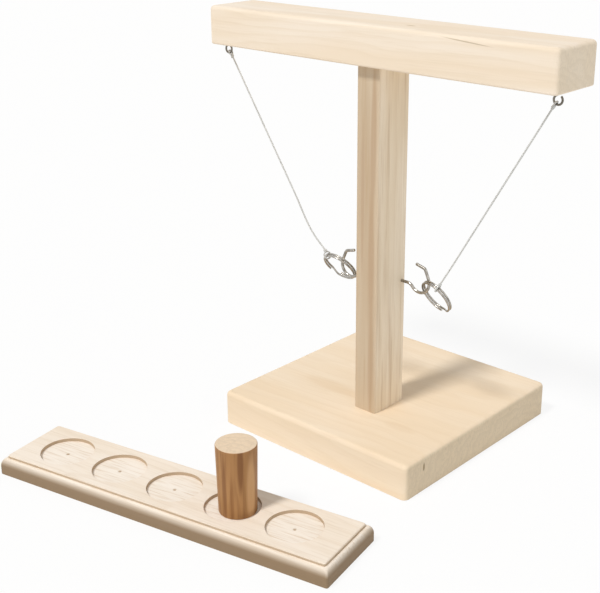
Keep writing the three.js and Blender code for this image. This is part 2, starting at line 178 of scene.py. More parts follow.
# How near counts as the same place or direction, and how far a cutter stands out of the wood
SAME_PLACE = 0.01
ON_RIM = 0.05
ALONG = 0.99
FACING = 0.9
WELD = 0.002
CORD_WELD = 0.001
CUTTER_SPARE = 1


def metres(*values):
    return Vector(values) * MM


# Camera, at the photograph's viewing angle; its dip and turn are in radians

CAMERA_SENSOR = 36
CAMERA_LENS = 68.445
CAMERA_SHIFT = (-0.05, -0.06)
CAMERA_PLACE = (563.981, -711.007, 472.048)
CAMERA_DIP = 0.344
CAMERA_TURN = 0.725

camera_data = bpy.data.cameras.new("viewer")
camera_data.sensor_width = CAMERA_SENSOR
camera_data.lens = CAMERA_LENS
camera_data.shift_x, camera_data.shift_y = CAMERA_SHIFT
camera = bpy.data.objects.new("viewer", camera_data)
camera.location = metres(*CAMERA_PLACE)
camera.rotation_euler = (math.pi / 2 - CAMERA_DIP, 0, CAMERA_TURN)
bpy.context.collection.objects.link(camera)
bpy.context.scene.camera = camera


# Hand tools

def clear_selection():
    """Leaves edit mode and deselects everything."""
    if bpy.context.mode != "OBJECT":
        bpy.ops.object.mode_set(mode="OBJECT")
    bpy.ops.object.select_all(action="DESELECT")


def pick_piece(piece):
    clear_selection()
    piece.select_set(True)
    bpy.context.view_layer.objects.active = piece


def open_piece(name):
    """Names the new primitive, puts its place in its mesh and opens it for editing."""
    piece = bpy.context.object
    piece.name = name
    piece.data.name = name
    bpy.ops.object.transform_apply(location=True, rotation=True, scale=True)
    bpy.ops.object.mode_set(mode="EDIT")
    bpy.ops.mesh.select_all(action="SELECT")
    return piece


def put(piece, place):
    """Moves the mesh of the selected piece, whose object stays at the origin."""
    piece.matrix_world = place
    bpy.ops.object.transform_apply(location=True, rotation=True, scale=True)


def block(name, centre, size):
    clear_selection()
    bpy.ops.mesh.primitive_cube_add(size=1, location=metres(*centre), scale=metres(*size))
    return open_piece(name)


def pick_edges(piece, wanted):
    """Selects the edges whose middle and direction are wanted."""
    bpy.ops.mesh.select_mode(type="EDGE")
    bpy.ops.mesh.select_all(action="DESELECT")
    shape = bmesh.from_edit_mesh(piece.data)
    for edge in shape.edges:
        first, last = (corner.co for corner in edge.verts)
        edge.select_set(bool(wanted((first + last) / 2 / MM, (last - first).normalized())))
    bmesh.update_edit_mesh(piece.data)


def pick_faces(piece, wanted):
    """Selects the faces whose middle and normal are wanted."""
    bpy.ops.mesh.select_mode(type="FACE")
    bpy.ops.mesh.select_all(action="DESELECT")
    shape = bmesh.from_edit_mesh(piece.data)
    shape.normal_update()
    for face in shape.faces:
        face.select_set(bool(wanted(face.calc_center_median() / MM, face.normal)))
    bmesh.update_edit_mesh(piece.data)


def round_edges(piece, radius, wanted, steps=EDGE_STEPS):
    pick_edges(piece, wanted)
    bpy.ops.mesh.bevel(offset=radius * MM, segments=steps, profile=ROUND_PROFILE, affect="EDGES")


def upright(middle, direction):
    return abs(direction.z) > ALONG


def level_at(height):
    return lambda middle, direction: abs(middle.z - height) < SAME_PLACE and abs(direction.z) < 1 - ALONG


def faces_up(middle, normal):
    return normal.z > FACING


def faces_down(middle, normal):
    return normal.z < -FACING


def push_out(offset):
    bpy.ops.mesh.extrude_region_move(TRANSFORM_OT_translate={"value": offset})


def face_outward():
    """Turns all faces outward and leaves edit mode."""
    bpy.ops.mesh.select_all(action="SELECT")
    bpy.ops.mesh.normals_make_consistent(inside=False)
    bpy.ops.object.mode_set(mode="OBJECT")


def weld(near):
    """Merges the picked piece's doubles and turns its faces outward."""
    bpy.ops.object.mode_set(mode="EDIT")
    bpy.ops.mesh.select_all(action="SELECT")
    bpy.ops.mesh.remove_doubles(threshold=near * MM)
    face_outward()


def cut_away(piece, cutter):
    pick_piece(piece)
    modifier = piece.modifiers.new("cut", "BOOLEAN")
    modifier.operation = "DIFFERENCE"
    modifier.solver = "EXACT"
    modifier.object = cutter
    bpy.ops.object.modifier_apply(modifier=modifier.name)
    bpy.data.objects.remove(cutter)


def close_piece(piece, crease=CREASE):
    """Leaves edit mode with clean outward faces, smooth over its rounds and crisp at its corners."""
    pick_piece(piece)
    weld(WELD)
    bpy.ops.object.shade_smooth_by_angle(angle=math.radians(crease))
    modifier = piece.modifiers.new("even shading", "WEIGHTED_NORMAL")
    modifier.keep_sharp = True
    bpy.ops.object.modifier_apply(modifier=modifier.name)


def dress(piece, material, slot, body, *nodes):
    piece.data.materials.clear()
    piece.data.materials.append(material)
    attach(piece, body)
    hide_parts(*nodes)


# Materials

def linear(code):
    channels = [int(code[start:start + 2], 16) / 255 for start in (1, 3, 5)]
    return (*((c / 12.92 if c <= 0.04045 else ((c + 0.055) / 1.055) ** 2.4) for c in channels), 1)


def add_node(tree, kind, inputs=None, **settings):
    made = tree.nodes.new(kind)
    for setting, value in settings.items():
        setattr(made, setting, value)
    for socket, value in (inputs or {}).items():
        if isinstance(value, bpy.types.NodeSocket):
            tree.links.new(value, made.inputs[socket])
        else:
            made.inputs[socket].default_value = value
    return made


# Sockets of the colour mix node
MIX_FACTOR = 0
MIX_A = 6
MIX_B = 7
MIX_RESULT = 2


def new_material(name):
    made = bpy.data.materials.new(name)
    made.use_nodes = True
    return made, made.node_tree, made.node_tree.nodes["Principled BSDF"]


def per_size(*sizes):
    """Factors that turn metres into repeats of a pattern of these millimetre sizes."""
    return tuple(1 / (size * MM) for size in sizes)


ENDS_OVER_SIDES = "cut ends over sides"

# Noises of the grain: sizes along and across it in millimetres, seed, detail and roughness. Fibres are drawn
# as bundles about ten times as wide as single ones, and pores about five times as wide as they are, to show.
GRAIN_NOISES = {
    "wave": ((140, 26, 26), 0, 2, 0.5),
    "tone": ((160, 22, 22), 3.1, 1.5, 0.5),
    "fibres": ((16, 0.55, 0.55), 11.3, 2, 0.6),
    "pores": ((30, 1.4, 2.8), 13.9, 2, 0.6),
}
STREAK_NOISE = (7.7, 3, 0.6)
HEART_NOISE = ((220, 7, 7), 5.2, 1, 0.5)
# Values of each noise between which its mark comes up, and how much of the mark shows at most
TONE_RISE = (0.35, 0.65)
BAND_RISE = (0.42, 0.62)
STREAK_RISE = (0.48, 0.72)
FIBRE_RISE = (0.5, 0.78)
FIBRE_TO_STREAK = 0.35
PORE_RISE = (0.45, 0.75)
PORE_SHOW = 0.9
END_RISE = (0.6, 1)
HEART_EDGE = (-1.5, 1)  # millimetres from its reach
HEART_SHOW = 0.92
STREAK_CORE = 0.45
WOOD_IOR = 1.46
WOOD_SPECULAR = 0.35
ROUGH_SPREAD = (-0.08, 0.1)
FIBRE_RELIEF = 0.12  # millimetres
RELIEF_STRENGTH = 0.25
RING_DARKENS = 0.35
RING_ENDS = 0.92
CUT_RING_SHOW = 0.4
CUT_PORE_SHADE = 0.8


def bare_wood(name, centre, turn, pale, warm, ring, streak, end, ring_width, ring_show, streak_show,
              streak_size, end_show, rough, seed, warp=2.0, heart=None, heart_reach=0):
    """Sanded wood whose grain runs along the X axis after a turn in radians.

    The centre is the heart of the log, in millimetres; heartwood has two colours of its own."""
    made, tree, shader = new_material(name)
    place = add_node(tree, "ShaderNodeTexCoord")
    log = add_node(tree, "ShaderNodeMapping", {
        "Vector": place.outputs["Object"],
        "Location": metres(*centre),
        "Rotation": turn,
    }, vector_type="TEXTURE").outputs[0]

    kinds = {**GRAIN_NOISES, "streaks": (streak_size, *STREAK_NOISE)}
    if heart:
        kinds["bands"] = HEART_NOISE
    noises = {}
    for kind, (sizes, shift, detail, roughness) in kinds.items():
        scaled = add_node(tree, "ShaderNodeVectorMath", {0: log, 1: per_size(*sizes)}, operation="MULTIPLY")
        noises[kind] = add_node(tree, "ShaderNodeTexNoise", {
            "Vector": scaled.outputs[0], "W": seed + shift, "Scale": 1, "Detail": detail,
            "Roughness": roughness,
        }, noise_dimensions="4D").outputs[0]

    # Growth rings: distance from the heart, made wavy by a slow noise along the grain
    across = add_node(tree, "ShaderNodeVectorMath", {0: log, 1: (0, 1, 1)}, operation="MULTIPLY")
    radius = add_node(tree, "ShaderNodeVectorMath", {0: across.outputs[0]}, operation="LENGTH")
    count = add_node(tree, "ShaderNodeMath", {0: radius.outputs["Value"], 1: 1 / (ring_width * MM)},
                     operation="MULTIPLY")
    wavy = add_node(tree, "ShaderNodeMath", {0: noises["wave"], 1: 2 * warp, 2: count.outputs[0]},
                    operation="MULTIPLY_ADD")
    year = add_node(tree, "ShaderNodeMath", {0: wavy.outputs[0]}, operation="FRACT")
    darkening = add_node(tree, "ShaderNodeMapRange", {
        "Value": year.outputs[0], "From Min": RING_DARKENS, "From Max": RING_ENDS,
    }, interpolation_type="SMOOTHSTEP")
    ending = add_node(tree, "ShaderNodeMapRange", {
        "Value": year.outputs[0], "From Min": RING_ENDS, "From Max": 1, "To Min": 1, "To Max": 0,
    }, interpolation_type="SMOOTHSTEP")
    late = add_node(tree, "ShaderNodeMath", {0: darkening.outputs[0], 1: ending.outputs[0]},
                    operation="MULTIPLY")

    # Broad tone, heartwood, rings, long streaks and fine fibres, one over the other
    toned = add_node(tree, "ShaderNodeMapRange", {
        "Value": noises["tone"], "From Min": TONE_RISE[0], "From Max": TONE_RISE[1],
    })
    ground = add_node(tree, "ShaderNodeMix", {
        MIX_FACTOR: toned.outputs[0], MIX_A: linear(pale), MIX_B: linear(warm),
    }, data_type="RGBA")
    if heart:
        core = add_node(tree, "ShaderNodeMapRange", {
            "Value": radius.outputs["Value"], "From Min": (heart_reach + HEART_EDGE[0]) * MM,
            "From Max": (heart_reach + HEART_EDGE[1]) * MM, "To Min": HEART_SHOW, "To Max": 0,
        }, interpolation_type="SMOOTHSTEP")
        band_share = add_node(tree, "ShaderNodeMapRange", {
            "Value": noises["bands"], "From Min": BAND_RISE[0], "From Max": BAND_RISE[1],
        })
        heartwood = add_node(tree, "ShaderNodeMix", {
            MIX_FACTOR: band_share.outputs[0], MIX_A: linear(heart[0]), MIX_B: linear(heart[1]),
        }, data_type="RGBA")
        ground = add_node(tree, "ShaderNodeMix", {
            MIX_FACTOR: core.outputs[0], MIX_A: ground.outputs[MIX_RESULT],
            MIX_B: heartwood.outputs[MIX_RESULT],
        }, data_type="RGBA")
    ring_share = add_node(tree, "ShaderNodeMath", {0: late.outputs[0], 1: ring_show}, operation="MULTIPLY")
    ringed = add_node(tree, "ShaderNodeMix", {
        MIX_FACTOR: ring_share.outputs[0], MIX_A: ground.outputs[MIX_RESULT], MIX_B: linear(ring),
    }, data_type="RGBA")
    streak_share = add_node(tree, "ShaderNodeMapRange", {
        "Value": noises["streaks"], "From Min": STREAK_RISE[0], "From Max": STREAK_RISE[1],
        "To Max": streak_show,
    }, interpolation_type="SMOOTHSTEP")
    streaked = add_node(tree, "ShaderNodeMix", {
        MIX_FACTOR: streak_share.outputs[0], MIX_A: ringed.outputs[MIX_RESULT], MIX_B: linear(streak),
    }, data_type="RGBA")
    fibre_share = add_node(tree, "ShaderNodeMapRange", {
        "Value": noises["fibres"], "From Min": FIBRE_RISE[0], "From Max": FIBRE_RISE[1],
        "To Max": FIBRE_TO_STREAK * streak_show,
    })
    fibred = add_node(tree, "ShaderNodeMix", {
        MIX_FACTOR: fibre_share.outputs[0], MIX_A: streaked.outputs[MIX_RESULT], MIX_B: linear(streak),
    }, data_type="RGBA")

    # End grain: the cut ends of the fibres drink light and look duller, with the rings and open pores in it
    pore_share = add_node(tree, "ShaderNodeMapRange", {
        "Value": noises["pores"], "From Min": PORE_RISE[0], "From Max": PORE_RISE[1], "To Max": PORE_SHOW,
    })
    cut_rings = add_node(tree, "ShaderNodeMath", {0: late.outputs[0], 1: CUT_RING_SHOW}, operation="MULTIPLY")
    cut_marks = add_node(tree, "ShaderNodeMath", {0: pore_share.outputs[0], 1: cut_rings.outputs[0]},
                         operation="MAXIMUM")
    end_dark = (*(channel * CUT_PORE_SHADE for channel in linear(end)[:3]), 1)
    cut = add_node(tree, "ShaderNodeMix", {
        MIX_FACTOR: cut_marks.outputs[0], MIX_A: linear(end), MIX_B: end_dark,
    }, data_type="RGBA")
    grain_way = tuple(Matrix.Rotation(turn[2], 3, "Z") @ Matrix.Rotation(turn[1], 3, "Y") @ X_AXIS)
    facing = add_node(tree, "ShaderNodeVectorMath", {0: place.outputs["Normal"], 1: grain_way},
                      operation="DOT_PRODUCT")
    end_on = add_node(tree, "ShaderNodeMath", {0: facing.outputs["Value"]}, operation="ABSOLUTE")
    end_share = add_node(tree, "ShaderNodeMapRange", {
        "Value": end_on.outputs[0], "From Min": END_RISE[0], "From Max": END_RISE[1], "To Max": end_show,
    }, interpolation_type="SMOOTHSTEP")
    finished = add_node(tree, "ShaderNodeMix", {
        MIX_FACTOR: end_share.outputs[0], MIX_A: fibred.outputs[MIX_RESULT],
        MIX_B: cut.outputs[MIX_RESULT],
    }, data_type="RGBA", name=ENDS_OVER_SIDES)
    tree.links.new(finished.outputs[MIX_RESULT], shader.inputs["Base Color"])

    roughness = add_node(tree, "ShaderNodeMapRange", {
        "Value": noises["fibres"], "To Min": rough + ROUGH_SPREAD[0], "To Max": rough + ROUGH_SPREAD[1],
    })
    tree.links.new(roughness.outputs[0], shader.inputs["Roughness"])
    relief = add_node(tree, "ShaderNodeBump", {
        "Strength": RELIEF_STRENGTH, "Distance": FIBRE_RELIEF * MM, "Height": noises["fibres"],
    })
    tree.links.new(relief.outputs[0], shader.inputs["Normal"])
    shader.inputs["IOR"].default_value = WOOD_IOR
    shader.inputs["Specular IOR Level"].default_value = WOOD_SPECULAR
    return made


def wood_streak_and_painted_light(material, place, half_sizes, tilt, colour, share, on_end=False):
    """A streak of resin, darker wood or paler wood, and on the peg also a band of painted light: strongest at
    its middle, gone at its half sizes.

    Sizes are in millimetres, the tilt in radians. It lies in the sides of the wood, or over a cut end too."""
    tree = material.node_tree
    if on_end:
        under = tree.nodes["Principled BSDF"].inputs["Base Color"]
    else:
        under = tree.nodes[ENDS_OVER_SIDES].inputs[MIX_A]
    around = add_node(tree, "ShaderNodeTexCoord")
    local = add_node(tree, "ShaderNodeMapping", {
        "Vector": around.outputs["Object"], "Location": metres(*place),
        "Rotation": (0, tilt, 0), "Scale": metres(*half_sizes),
    }, vector_type="TEXTURE")
    away = add_node(tree, "ShaderNodeVectorMath", {0: local.outputs[0]}, operation="LENGTH")
    strength = add_node(tree, "ShaderNodeMapRange", {
        "Value": away.outputs["Value"], "From Min": STREAK_CORE, "To Min": share, "To Max": 0,
    }, interpolation_type="SMOOTHSTEP")
    streaked = add_node(tree, "ShaderNodeMix", {
        MIX_FACTOR: strength.outputs[0], MIX_A: under.links[0].from_socket, MIX_B: linear(colour),
    }, data_type="RGBA")
    tree.links.new(streaked.outputs[MIX_RESULT], under)


# Heights and sizes in millimetres; the rest are shares, and upright parts of a normal
FLOOR_PALER = 0.45
FLOOR_EDGE = (0.2, 0.4)
FLOOR_FACES = 0.3
TORN_SIZE = (26, 1.5, 1.5)
TORN_RISE = (0.5, 0.75)
TORN_SHOW = 0.52
PIP_EDGE = (0.2, 1.2)
PIP_SHOW = 0.9
# Painted shade on the ladder: the step, the well walls and the moulding go darker as their faces turn upright
STEP_EDGE = 0.4
STEEP_SHADE_FADE = (0.2, 0.9)
STEEP_SHADE_SHOW = 0.7
MOULDING_SHADE_FADE = (0.12, 0.93)
MOULDING_SHADE_SHOW = 0.92
UNDERSIDE_FACES = -0.5


def cutter_marks_and_painted_shade(material, step_shade_and_pip, moulding_shade, floor_pale, floor_marks):
    """Tool marks on the ladder, pale well floors with a dark pip, and painted shade on its step, well walls
    and moulding.
    """
    tree = material.node_tree
    shader = tree.nodes["Principled BSDF"]
    colour = shader.inputs["Base Color"].links[0].from_socket
    place = add_node(tree, "ShaderNodeTexCoord")
    board = add_node(tree, "ShaderNodeMapping", {
        "Vector": place.outputs["Object"],
        "Location": metres(*LADDER_PLACE, 0),
        "Rotation": (0, 0, LADDER_TURN),
    }, vector_type="TEXTURE")
    axes = add_node(tree, "ShaderNodeSeparateXYZ", {0: board.outputs[0]})
    facing = add_node(tree, "ShaderNodeSeparateXYZ", {0: place.outputs["Normal"]})

    # Distance from the nearest well's centre
    from_middle = add_node(tree, "ShaderNodeMath", {0: axes.outputs["X"], 1: WELL_ROW_SHIFT * MM},
                           operation="SUBTRACT")
    along = add_node(tree, "ShaderNodeMath", {
        0: from_middle.outputs[0], 1: WELL_PITCH / 2 * MM, 2: -WELL_PITCH / 2 * MM,
    }, operation="WRAP")
    flat = add_node(tree, "ShaderNodeCombineXYZ", {"X": along.outputs[0], "Y": axes.outputs["Y"]})
    radius = add_node(tree, "ShaderNodeVectorMath", {0: flat.outputs[0]}, operation="LENGTH").outputs["Value"]

    # Well floors, not the underside below them: grain lines torn up by the cutter, and the pip of its point
    floor = add_node(tree, "ShaderNodeMapRange", {
        "Value": axes.outputs["Z"], "From Min": (LADDER_SIZE[2] - WELL_DEPTH + FLOOR_EDGE[0]) * MM,
        "From Max": (LADDER_SIZE[2] - WELL_DEPTH + FLOOR_EDGE[1]) * MM, "To Min": 1, "To Max": 0,
    })
    inside = add_node(tree, "ShaderNodeMath", {0: radius, 1: WELL_DIAMETER / 2 * MM}, operation="LESS_THAN")
    raised = add_node(tree, "ShaderNodeMath", {0: facing.outputs["Z"], 1: FLOOR_FACES},
                      operation="GREATER_THAN")
    on_floor = floor
    for share in (inside, raised):
        on_floor = add_node(tree, "ShaderNodeMath", {0: on_floor.outputs[0], 1: share.outputs[0]},
                            operation="MULTIPLY")
    drawn = add_node(tree, "ShaderNodeVectorMath", {0: board.outputs[0], 1: per_size(*TORN_SIZE)},
                     operation="MULTIPLY")
    torn = add_node(tree, "ShaderNodeTexNoise", {"Vector": drawn.outputs[0], "Scale": 1, "Detail": 2})
    torn = add_node(tree, "ShaderNodeMapRange", {
        "Value": torn.outputs[0], "From Min": TORN_RISE[0], "From Max": TORN_RISE[1], "To Max": TORN_SHOW,
    })
    marked = add_node(tree, "ShaderNodeMath", {0: torn.outputs[0], 1: on_floor.outputs[0]},
                      operation="MULTIPLY")
    pip = add_node(tree, "ShaderNodeMapRange", {
        "Value": radius, "From Min": PIP_EDGE[0] * PIP_DIAMETER / 2 * MM,
        "From Max": PIP_EDGE[1] * PIP_DIAMETER / 2 * MM, "To Min": PIP_SHOW, "To Max": 0,
    }, interpolation_type="SMOOTHSTEP")
    pip = add_node(tree, "ShaderNodeMath", {0: pip.outputs[0], 1: on_floor.outputs[0]}, operation="MULTIPLY")
    paler = add_node(tree, "ShaderNodeMath", {0: on_floor.outputs[0], 1: FLOOR_PALER}, operation="MULTIPLY")
    fresh = add_node(tree, "ShaderNodeMix", {
        MIX_FACTOR: paler.outputs[0], MIX_A: colour, MIX_B: linear(floor_pale),
    }, data_type="RGBA")
    floored = add_node(tree, "ShaderNodeMix", {
        MIX_FACTOR: marked.outputs[0], MIX_A: fresh.outputs[MIX_RESULT], MIX_B: linear(floor_marks),
    }, data_type="RGBA")

    # Painted shade: the upright faces of the wells and of the routed step are darker, and so is the moulding
    # where it turns down to the table
    steep_shade = add_node(tree, "ShaderNodeMath", {0: facing.outputs["Z"]}, operation="ABSOLUTE")
    steep_shade = add_node(tree, "ShaderNodeMapRange", {
        "Value": steep_shade.outputs[0], "From Min": STEEP_SHADE_FADE[0], "From Max": STEEP_SHADE_FADE[1],
        "To Min": STEEP_SHADE_SHOW, "To Max": 0,
    })
    upper = add_node(tree, "ShaderNodeMath", {
        0: axes.outputs["Z"], 1: (LADDER_SIZE[2] - ROUTED_STEP - STEP_EDGE) * MM,
    }, operation="GREATER_THAN")
    step = add_node(tree, "ShaderNodeMath", {0: steep_shade.outputs[0], 1: upper.outputs[0]}, operation="MULTIPLY")
    step_shade_and_pip_share = add_node(tree, "ShaderNodeMath", {0: step.outputs[0], 1: pip.outputs[0]}, operation="MAXIMUM")
    with_step_shade_and_pip = add_node(tree, "ShaderNodeMix", {
        MIX_FACTOR: step_shade_and_pip_share.outputs[0], MIX_A: floored.outputs[MIX_RESULT], MIX_B: linear(step_shade_and_pip),
    }, data_type="RGBA")
    # Painted shade on the moulding: darker as its face turns from up to upright, but not on the underside
    turned_down_shade = add_node(tree, "ShaderNodeMapRange", {
        "Value": facing.outputs["Z"], "From Min": MOULDING_SHADE_FADE[0], "From Max": MOULDING_SHADE_FADE[1],
        "To Min": MOULDING_SHADE_SHOW, "To Max": 0,
    })
    not_under = add_node(tree, "ShaderNodeMath", {0: facing.outputs["Z"], 1: UNDERSIDE_FACES},
                         operation="GREATER_THAN")
    lower = add_node(tree, "ShaderNodeMath", {0: 1, 1: upper.outputs[0]}, operation="SUBTRACT")
    edge = lower
    for share in (not_under, turned_down_shade):
        edge = add_node(tree, "ShaderNodeMath", {0: edge.outputs[0], 1: share.outputs[0]},
                        operation="MULTIPLY")
    finished = add_node(tree, "ShaderNodeMix", {
        MIX_FACTOR: edge.outputs[0], MIX_A: with_step_shade_and_pip.outputs[MIX_RESULT], MIX_B: linear(moulding_shade),
    }, data_type="RGBA")
    tree.links.new(finished.outputs[MIX_RESULT], shader.inputs["Base Color"])


BLOOM_SIZE = 3  # millimetres
BLOOM_RISE = (0.4, 0.7)
HAZE_SPREAD = (-0.06, 0.1)


def plated_wire(name, colour, dull, rough, mottle):
    """Plated steel wire: mirror-like, with a slightly duller bloom in patches a few millimetres across."""
    made, tree, shader = new_material(name)
    place = add_node(tree, "ShaderNodeTexCoord")
    patch = add_node(tree, "ShaderNodeVectorMath", {
        0: place.outputs["Object"], 1: per_size(*3 * [BLOOM_SIZE]),
    }, operation="MULTIPLY")
    bloom = add_node(tree, "ShaderNodeTexNoise", {"Vector": patch.outputs[0], "Scale": 1, "Detail": 3})
    share = add_node(tree, "ShaderNodeMapRange", {
        "Value": bloom.outputs[0], "From Min": BLOOM_RISE[0], "From Max": BLOOM_RISE[1], "To Max": mottle,
    })
    tint = add_node(tree, "ShaderNodeMix", {
        MIX_FACTOR: share.outputs[0], MIX_A: linear(colour), MIX_B: linear(dull),
    }, data_type="RGBA")
    tree.links.new(tint.outputs[MIX_RESULT], shader.inputs["Base Color"])
    haze = add_node(tree, "ShaderNodeMapRange", {
        "Value": bloom.outputs[0], "To Min": rough + HAZE_SPREAD[0], "To Max": rough + HAZE_SPREAD[1],
    })
    tree.links.new(haze.outputs[0], shader.inputs["Roughness"])
    shader.inputs["Metallic"].default_value = 1
    return made


HANDLED_SIZE = 9  # millimetres
STRING_ROUGHNESS = 0.75
STRING_SHEEN = 0.2


def spun_string(name, pale, shade):
    """Twisted polyester: three pale strands, greyer in patches where fingers have handled it."""
    made, tree, shader = new_material(name)
    place = add_node(tree, "ShaderNodeTexCoord")
    patch = add_node(tree, "ShaderNodeVectorMath", {
        0: place.outputs["Object"], 1: per_size(*3 * [HANDLED_SIZE]),
    }, operation="MULTIPLY")
    worn = add_node(tree, "ShaderNodeTexNoise", {"Vector": patch.outputs[0], "Scale": 1, "Detail": 4})
    tint = add_node(tree, "ShaderNodeMix", {
        MIX_FACTOR: worn.outputs[0], MIX_A: linear(pale), MIX_B: linear(shade),
    }, data_type="RGBA")
    tree.links.new(tint.outputs[MIX_RESULT], shader.inputs["Base Color"])
    shader.inputs["Roughness"].default_value = STRING_ROUGHNESS
    shader.inputs["Sheen Weight"].default_value = STRING_SHEEN
    return made


# Pine, planed and sanded: pale cream, faint growth rings and very fine fibres
pine_base = bare_wood(
    "sanded pine, base", (-40, 46, -64), (0, 0.03, 0.06), "#F4E1C7", "#F0DABC", "#E2C8A4", "#E1C9A8",
    "#DCCAAD", ring_width=9, ring_show=0.14, streak_show=0.22, streak_size=(60, 1.6, 1.6), end_show=0.85,
    rough=0.62, seed=1.0)
wood_streak_and_painted_light(pine_base, (100, -77, 21), (4, 1.5, 4.5), 0, "#8F7654", 0.85, on_end=True)
wood_streak_and_painted_light(pine_base, (-36, -30, 30), (40, 11, 4), 0, "#DDBF98", 0.26)
wood_streak_and_painted_light(pine_base, (56, -52, 30), (20, 7, 4), 0, "#DDBF98", 0.24)
pine_bar = bare_wood(
    "sanded pine, crossbar", (-20, -60, 290), (0, -0.02, 0.03), "#F4E6D4", "#F0DEC6", "#E6D2B6", "#E5D2B8",
    "#EEDEC4", ring_width=8, ring_show=0.25, streak_show=0.35, streak_size=(70, 1.4, 1.4), end_show=0.6,
    rough=0.58, seed=4.0)
wood_streak_and_painted_light(pine_bar, (108.5, -55, 348.4), (26, 4, 0.6), 0.068, "#BBA687", 0.7)
wood_streak_and_painted_light(pine_bar, (47, -38, 352), (6, 1.6, 3), 0, "#C4A87E", 0.8)
pine_ladder = bare_wood(
    "sanded pine, ladder", (-27, -250, -50), (0, 0.02, LADDER_TURN - 0.03), "#F8ECDD", "#F3E4D1",
    "#E3D0B7", "#E1CFB8", "#E6D8C4", ring_width=6, ring_show=0.25, streak_show=0.5,
    streak_size=(50, 1.2, 1.2), end_show=0.5, rough=0.6, seed=9.0)
# Colours: painted shade for the step and well walls, also used for the pips; painted shade for the moulding;
# pale well floors; torn grain
cutter_marks_and_painted_shade(pine_ladder, "#A88A64", "#846A4A", "#FFF8EE", "#CDB08A")
# Rubberwood for the post: brown heartwood at the front face, pale sapwood behind it, pores in long streaks
post_wood = bare_wood(
    "sanded rubberwood, post", (15, -147.5, 160), (0, math.pi / 2, 0), "#F4E5CE", "#E8D5B8", "#D6BE9C",
    "#BC9D78", "#D8C4A2", ring_width=9, ring_show=0.2, streak_show=0.45, streak_size=(110, 4, 4),
    end_show=0.3, rough=0.64, warp=1.2, seed=2.0, heart=("#CDB99E", "#C3AC8F"), heart_reach=101.5)
for streak in (
        ((21, -47.5, 262), (3.8, 3, 75), 0.004, "#B99B7D", 0.6),
        ((20, -47.5, 165), (4, 3, 70), -0.006, "#B99B7D", 0.55),
        ((20.5, -47.5, 75), (3.8, 3, 60), 0.008, "#B99B7D", 0.45),
        ((10.5, -47.5, 215), (2.2, 3, 80), 0, "#BA9D80", 0.5)):
    wood_streak_and_painted_light(post_wood, *streak)
# Stained oak for the peg: brown streaks and a darker heart on the side, the cut top left pale, and a paler
# band of painted light down its right side
peg_wood = bare_wood(
    "stained oak, peg", (35, -217, 30), (0, math.pi / 2, 0), "#B08252", "#A07346", "#8B5F36", "#724826",
    "#F2DDC0", ring_width=5, ring_show=0.25, streak_show=0.6, streak_size=(170, 2.4, 2.4), end_show=0.85,
    rough=0.5, seed=3.3)
for streak in (
        ((39.2, -215.6, 58), (3, 3, 30), 0, "#7A4E2A", 0.8),
        ((28.5, -221.2, 44), (2.2, 2.2, 46), 0, "#7A4E2A", 0.7),
        ((34, -220, 24), (2, 2, 34), 0, "#86582F", 0.5),
        # painted light: a paler band down the peg's right side, where light from the right falls
        ((41.5, -207.2, 34), (3.6, 5.5, 40), 0, "#D2A676", 0.75)):
    wood_streak_and_painted_light(peg_wood, *streak)
dowel_wood = bare_wood(
    "turned beech, dowels", (15, -29, 300), (0, math.pi / 2, 0), "#E2C69C", "#D9BA8E", "#C9A676", "#C6A274",
    "#D2B588", ring_width=3, ring_show=0.4, streak_show=0.4, streak_size=(20, 0.8, 0.8), end_show=0.4,
    rough=0.6, seed=5.0)
# Nickel plated wire: silver with a faint warm cast
nickel = plated_wire("nickel plated steel", "#B7B2AA", "#7C766D", 0.2, 0.8)
# Dulled plating on the small eyes: brown-grey and half matt
dull_steel = plated_wire("dulled plated steel", "#857F75", "#5B554B", 0.34, 0.7)
# Zinc plating on the screws: paler and more matt than the nickel
zinc = plated_wire("zinc plated steel", "#B4B4AE", "#8F8D84", 0.32, 0.5)
string_fibre = spun_string("twisted polyester", "#E2E2DF", "#C2C2BE")


# Strings, their loops and their knots

def smooth_route(points, spacing):
    """Points along a smooth curve through the given ones, no further apart than the spacing."""
    steps = [after - before for before, after in zip(points, points[1:])]
    gaps = [step.length for step in steps]
    ways = [step / gap for step, gap in zip(steps, gaps)]
    slopes = [ways[0]]
    for number in range(1, len(ways)):
        before, after = gaps[number - 1], gaps[number]
        slopes.append((ways[number - 1] * after + ways[number] * before) / (before + after))
    slopes.append(ways[-1])
    route = []
    for number, gap in enumerate(gaps):
        count = max(1, math.ceil(gap / spacing))
        for part in range(count):
            t = part / count
            bow = slopes[number] * (t - 1) * gap + slopes[number + 1] * t * gap + steps[number] * (1 - 2 * t)
            route.append(points[number] + steps[number] * t + bow * t * (t - 1))
    route.append(points[-1].copy())
    return route


